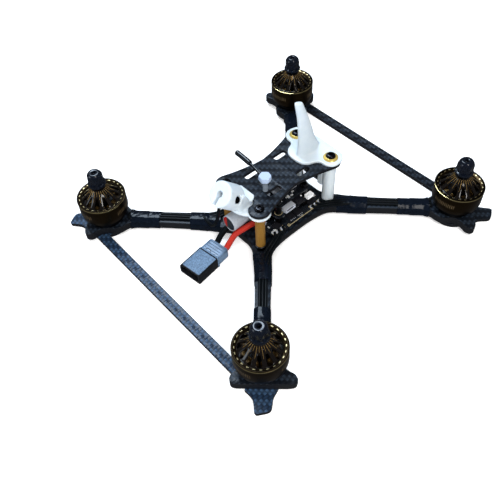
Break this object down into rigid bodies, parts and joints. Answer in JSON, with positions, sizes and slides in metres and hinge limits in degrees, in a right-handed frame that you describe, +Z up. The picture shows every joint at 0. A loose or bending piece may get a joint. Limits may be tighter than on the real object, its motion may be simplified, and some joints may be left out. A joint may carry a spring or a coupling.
{
  "type": "racing quadcopter with electronic speed controller",
  "caption": "Carbon-fibre racing quadcopter with brushless motors, a stacked speed controller, printed mounts and a loose battery lead.",
  "frame": {"origin": "on the ground plane, under the middle of the craft's bounding box", "axes": "+Y towards the nose, +Z up along the motor shafts, +X to the craft's right"},
  "size_m": [0.1742, 0.1894, 0.0795],
  "materials": {
    "carbon": "twill carbon fibre laminate, satin with light glints on the weave",
    "bell_bronze": "satin black-bronze anodised, with a bright champagne rim",
    "steel": "plain",
    "black_steel": "glossy black oxide",
    "black_aluminium": "satin black anodised",
    "bronze_aluminium": "satin bronze anodised, knurled",
    "copper_winding": "varnished copper wire on a laminated core",
    "white_tpu": "flexible printed plastic, slightly translucent, fine layer lines",
    "brass": "polished",
    "black_plastic": "semi-gloss",
    "circuit_board": "black solder mask with gold pads",
    "pale_nylon": "slightly translucent moulded nylon",
    "capacitor_sleeve": "printed shrink sleeve without text",
    "connector_plastic": "stippled moulded nylon",
    "red_silicone": "soft silicone insulation",
    "black_silicone": "soft silicone insulation"
  },
  "bodies": {
    "airframe": {"frame_plate": "carbon", "front_strut": "carbon", "rear_strut": "carbon", "top_plate": "carbon", "stack_bolt_front_left": "steel", "stack_bolt_front_right": "steel", "stack_bolt_rear_left": "steel", "stack_bolt_rear_right": "steel", "top_screw_front_left": "black_steel", "top_screw_front_right": "black_steel", "top_screw_rear_left": "black_steel", "top_screw_rear_right": "black_steel", "motor_base_front_left": "black_aluminium", "motor_base_front_right": "black_aluminium", "motor_base_rear_left": "black_aluminium", "motor_base_rear_right": "black_aluminium", "standoff_front_left": "black_aluminium", "standoff_front_right": "black_aluminium", "standoff_rear_left": "bronze_aluminium", "standoff_rear_right": "bronze_aluminium", "stator_front_left": "copper_winding", "stator_front_right": "copper_winding", "stator_rear_left": "copper_winding", "stator_rear_right": "copper_winding", "front_fin_mount": "white_tpu", "rear_socket_mount": "white_tpu", "camera_cheek_left": "white_tpu", "camera_cheek_right": "white_tpu", "brass_washer_left": "brass", "brass_washer_right": "brass", "receiver_antenna": "black_plastic", "esc_board": "circuit_board", "flight_controller": "circuit_board", "video_transmitter": "circuit_board", "nylon_bolt": "pale_nylon", "capacitor": "capacitor_sleeve", "battery_plug": "connector_plastic", "red_lead": "red_silicone", "black_lead": "black_silicone", "motor_wires_front_left": "black_silicone", "motor_wires_front_right": "black_silicone", "motor_wires_rear_left": "black_silicone", "motor_wires_rear_right": "black_silicone"},
    "rotor_front_left": {"bell_front_left": "bell_bronze", "shaft_front_left": "steel", "prop_nut_front_left": "black_steel"},
    "rotor_front_right": {"bell_front_right": "bell_bronze", "shaft_front_right": "steel", "prop_nut_front_right": "black_steel"},
    "rotor_rear_left": {"bell_rear_left": "bell_bronze", "shaft_rear_left": "steel", "prop_nut_rear_left": "black_steel"},
    "rotor_rear_right": {"bell_rear_right": "bell_bronze", "shaft_rear_right": "steel", "prop_nut_rear_right": "black_steel"},
    "camera": {"camera_body": "black_plastic", "camera_lens": "black_plastic"}
  },
  "joints": [
    {"name": "motor_front_left_spin", "type": "hinge", "parent": "airframe", "child": "rotor_front_left", "pos_m": [-0.0682, 0.0769, 0.02], "axis": [0, 0, 1], "continuous": true},
    {"name": "motor_front_right_spin", "type": "hinge", "parent": "airframe", "child": "rotor_front_right", "pos_m": [0.0682, 0.0769, 0.02], "axis": [0, 0, 1], "continuous": true},
    {"name": "motor_rear_left_spin", "type": "hinge", "parent": "airframe", "child": "rotor_rear_left", "pos_m": [-0.0682, -0.0769, 0.02], "axis": [0, 0, 1], "continuous": true},
    {"name": "motor_rear_right_spin", "type": "hinge", "parent": "airframe", "child": "rotor_rear_right", "pos_m": [0.0682, -0.0769, 0.02], "axis": [0, 0, 1], "continuous": true},
    {"name": "camera_tilt", "type": "hinge", "parent": "airframe", "child": "camera", "pos_m": [0, 0.0286, 0.0255], "axis": [1, 0, 0], "range_deg": [-25, 20]}
  ]
}
